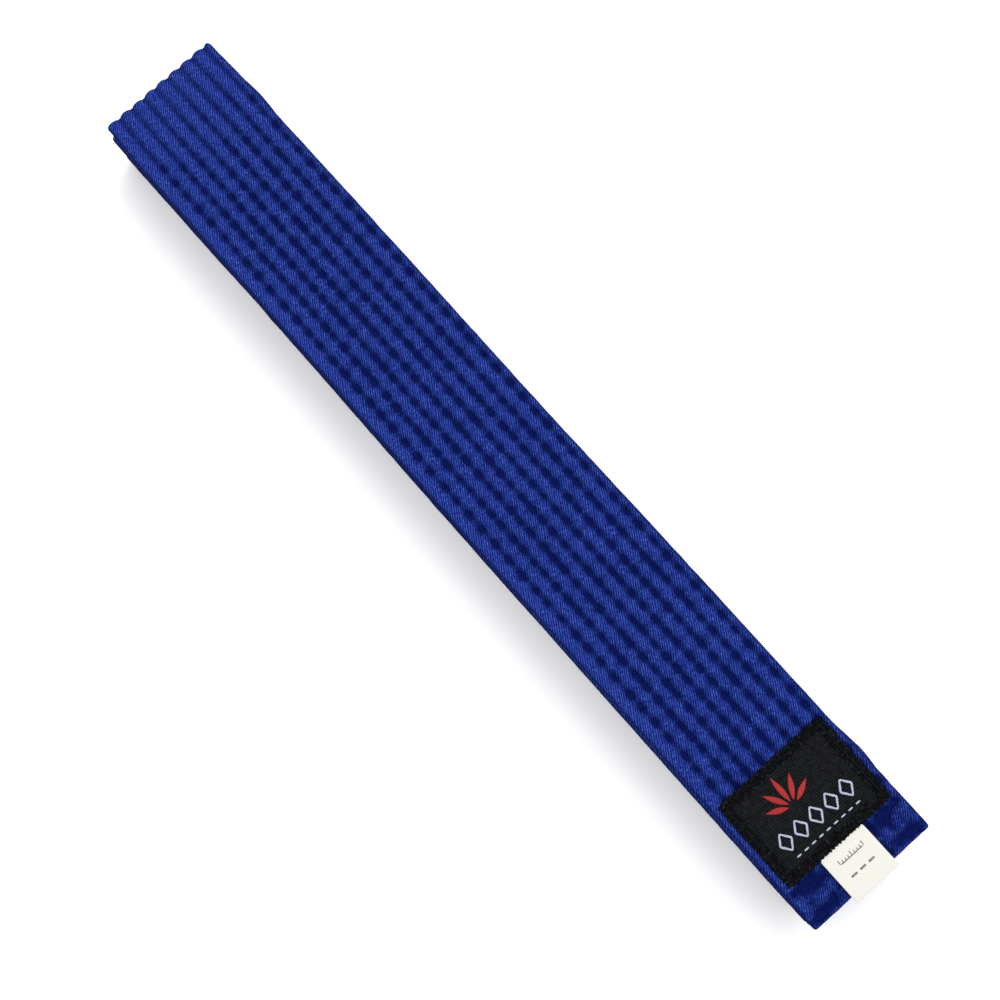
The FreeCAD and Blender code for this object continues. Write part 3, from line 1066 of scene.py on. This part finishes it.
LEAF_SHARES = (0.0, 0.08, 0.28, 0.5, 0.75, 0.93, 1.0)
LEAF_PROFILE = ((-1, 0), (-0.6, 0.2), (0.6, 0.2), (1, 0), (0.6, -0.08), (-0.6, -0.08))
LEAF_TIP = 0.06


def leaf(root, turn, length, width):
    """A pointed leaf from its root towards -X, turned about the root, as a low cushion."""
    rings = []
    for share in LEAF_SHARES:
        half = max(width / 2 * math.sin(math.pi * share**0.9), LEAF_TIP)
        ring = []
        for across, height in LEAF_PROFILE:
            spot = Matrix.Rotation(turn, 2) @ Vector((-length * share, across * half))
            ring.append(raised(root.x + spot.x, root.y + spot.y, height))
        rings.append(ring[::-1])
    lengths = [length * share for share in LEAF_SHARES]
    return loft("leaf", rings, lengths, range(len(LEAF_PROFILE) + 1))


FAN_X = -0.8
FAN_Y = -2.6
FAN_STEP = math.radians(32)
FAN_RADIUS = 1.6
LEAF_LENGTH = 8.2
LEAF_SHORTER = 0.9
LEAF_WIDTH = 2.0
leaves = []
for step in range(-2, 3):
    turn = FAN_STEP * step
    root = Vector((LABEL_MID.x + FAN_X, LABEL_MID.y + FAN_Y))
    root -= Vector((math.cos(turn), math.sin(turn))) * FAN_RADIUS
    leaves.append(leaf(root, turn, LEAF_LENGTH - LEAF_SHORTER * abs(step), LEAF_WIDTH))
emblem = joined_piece("leaf_emblem", leaves)
emblem.data.materials.append(satin_stitch("red_satin_stitch", "#761212", "#a82422"))
subdivide(emblem, 2)
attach(emblem, "panel_1")
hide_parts("label_emblem")

CHAIN_X = 4.4
LOZENGES = 5
LOZENGE_ALONG = 6.4
LOZENGE_ACROSS = 5.0
LOZENGE_PITCH = 5.35
LOZENGE_STEPS = 16
FRAME_WIDTH = 0.85
FRAME_PROFILE = ((0, 0), (0.25, 0.2), (0.75, 0.2), (1, 0), (0.5, -0.08))
lozenge_lengths = [0.9 * j for j in range(LOZENGE_STEPS + 1)]
shapes = []
for i in range(LOZENGES):
    centre = Vector((LABEL_MID.x + CHAIN_X, (i - (LOZENGES - 1) / 2) * LOZENGE_PITCH))
    rings = []
    for step in range(LOZENGE_STEPS):
        angle = math.tau * step / LOZENGE_STEPS
        way = Vector((math.cos(angle), math.sin(angle)))
        grow = 1 / (abs(way.x) + abs(way.y))
        rim = Vector((way.x * LOZENGE_ALONG, way.y * LOZENGE_ACROSS)) / 2 * grow
        inward = -rim.normalized() * FRAME_WIDTH
        ring = []
        for share, height in FRAME_PROFILE:
            spot = centre + rim + inward * share
            ring.append(raised(spot.x, spot.y, height))
        rings.append(ring[::-1])
    frame_counts = range(len(FRAME_PROFILE) + 1)
    shapes.append(loft("lozenge", rings, lozenge_lengths, frame_counts, joined=True))

BARS_X = 9.2
BARS = 9
BAR_PITCH = 2.6
BAR_HALF_LENGTH = 0.75
BAR_PROFILE = ((-1, 0), (-0.5, 0.14), (0.5, 0.14), (1, 0), (0.5, -0.08), (-0.5, -0.08))
for i in range(BARS):
    centre = Vector((LABEL_MID.x + BARS_X, (i - (BARS - 1) / 2) * BAR_PITCH))
    rings = []
    for share, half in ((-1, 0.14), (-0.8, 0.26), (0, 0.26), (0.8, 0.26), (1, 0.14)):
        ring = []
        for across, height in BAR_PROFILE:
            ring.append(raised(centre.x + across * half, centre.y + share * BAR_HALF_LENGTH, height))
        rings.append(ring[::-1])
    bar_lengths = [BAR_HALF_LENGTH / 2 * j for j in range(len(rings))]
    shapes.append(loft("bar", rings, bar_lengths, range(len(BAR_PROFILE) + 1)))
pattern = joined_piece("lozenge_pattern", shapes)
pattern.data.materials.append(satin_stitch("white_satin_stitch", "#8e8da6", "#bcbbd2"))
subdivide(pattern, 1)
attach(pattern, "panel_1")
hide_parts("label_pattern")

# ---- the size tag ----
# A loop of white satin ribbon, 15 mm wide, sewn in under the label's edge and folded over at its
# free end, which stands out past the end of the belt. Its print is a ruled scale and three bars.

tag_low, tag_high = (Vector(corner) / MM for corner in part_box("size_tag"))
RIBBON = 0.2
RIBBON_TUCK = 0.9
RIBBON_LIFT = 0.35
RIBBON_SAG = 0.12
TUCKED_FROM = 1.4
TUCKED_OVER = 1.8
UPPER_TUCKED = 0.75
LOWER_TUCKED = 0.3


def tag_height(x, upper):
    """Height of the ribbon's two plies: a little apart, and lifting slightly towards the end."""
    share = (x - tag_low.x) / (tag_high.x - tag_low.x)
    lift = RIBBON_LIFT * smooth(share) - RIBBON_SAG * math.sin(math.pi * share)
    tucked = smooth((tag_low.x + TUCKED_FROM - x) / TUCKED_OVER)
    lift -= (UPPER_TUCKED if upper else LOWER_TUCKED) * tucked
    ply = tag_high.z - RIBBON / 2 if upper else tag_low.z + RIBBON / 2
    return ply + lift


def ribbon_line():
    """The ribbon's middle line from under the label, out along the lower ply and back on top."""
    end = tag_high.x - 0.3
    out = evenly(tag_low.x - RIBBON_TUCK, end, 9)
    lower = [(x, tag_height(x, False)) for x in out]
    upper = [(x, tag_height(x, True)) for x in out[::-1]]
    middle_z = (lower[-1][1] + upper[0][1]) / 2
    return lower + [(tag_high.x - 0.1, middle_z)] + upper


line = ribbon_line()
tag_ys = evenly(tag_low.y, tag_high.y, 6)
points = [Vector((x, y, z)) * MM for x, z in line for y in tag_ys]
width = len(tag_ys)
faces = [
    (i * width + j, i * width + j + 1, (i + 1) * width + j + 1, (i + 1) * width + j)
    for i in range(len(line) - 1)
    for j in range(width - 1)
]
ribbon_mesh = bpy.data.meshes.new("size_tag_ribbon")
ribbon_mesh.from_pydata(points, [], faces)
ribbon_mesh.shade_smooth()
ribbon = bpy.data.objects.new("size_tag_ribbon", ribbon_mesh)
bpy.context.scene.collection.objects.link(ribbon)
thick = ribbon.modifiers.new("ribbon", "SOLIDIFY")
thick.thickness = RIBBON * MM
thick.offset = 0
subdivide(ribbon, 2).boundary_smooth = "PRESERVE_CORNERS"
apply_stack(ribbon)

satin, satin_tree, satin_shader = new_material(
    "white_satin_ribbon", Roughness=0.42, Sheen_Weight=0.2
)
satin_place = add(satin_tree, "TexCoord").outputs["Object"]
picks = add(
    satin_tree,
    "TexWave",
    {"Vector": satin_place, "Scale": math.tau / 20 / (0.45 * MM), "Distortion": 0.6},
    bands_direction="X",
)
satin_shades = ramp(satin_tree, picks.outputs["Fac"], (0, "#c4c2ba"), (1, "#cecdc6"))
link(satin_tree, satin_shades, satin_shader, "Base Color")
satin_relief = add(satin_tree, "Bump", {"Height": picks.outputs["Fac"], "Distance": 0.03 * MM})
link(satin_tree, satin_relief.outputs["Normal"], satin_shader, "Normal")
ribbon.data.materials.append(satin)
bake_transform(ribbon)
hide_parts("size_tag")

INK_LINE = 0.3
INK_THICK = 0.06
LONG_RULE = 1.3
SHORT_RULE = 0.8
ink_marks = []


def ink_mark(x_range, y_range):
    """One printed line or bar, as a thin raised patch that follows the ribbon."""
    xs = evenly(x_range[1], x_range[0], 2)
    ys = evenly(y_range[0], y_range[1], 3)
    top = RIBBON / 2 + INK_THICK / 2
    return cloth_slab("ink", xs, ys, lambda x, y: tag_height(x, True) + top, INK_THICK)


scale_x = tag_low.x + 3.6
bars_x = scale_x + 4
ink_marks.append(ink_mark((scale_x - INK_LINE / 2, scale_x + INK_LINE / 2), (-4, 4)))
for i in range(9):
    rise = LONG_RULE if i % 4 == 0 else SHORT_RULE
    y = i - 4
    ink_marks.append(ink_mark((scale_x - rise, scale_x), (y - INK_LINE / 2, y + INK_LINE / 2)))
for i in (-1, 0, 1):
    ink_marks.append(ink_mark((bars_x - 0.3, bars_x + 0.3), (3 * i - 1, 3 * i + 1)))
ink = joined_piece("tag_ink_marks", ink_marks)
ink_grey, ink_tree, ink_shader = new_material("textile_ink", Roughness=0.7)
ink_place = add(ink_tree, "TexCoord").outputs["Object"]
ink_noise = add(ink_tree, "TexNoise", {"Vector": ink_place, "Scale": 3000.0})
ink_shades = ramp(ink_tree, ink_noise.outputs["Fac"], (0, "#4c4c4c"), (1, "#8a8a88"))
link(ink_tree, ink_shades, ink_shader, "Base Color")
ink.data.materials.append(ink_grey)
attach(ink, "tag")
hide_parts("tag_print")
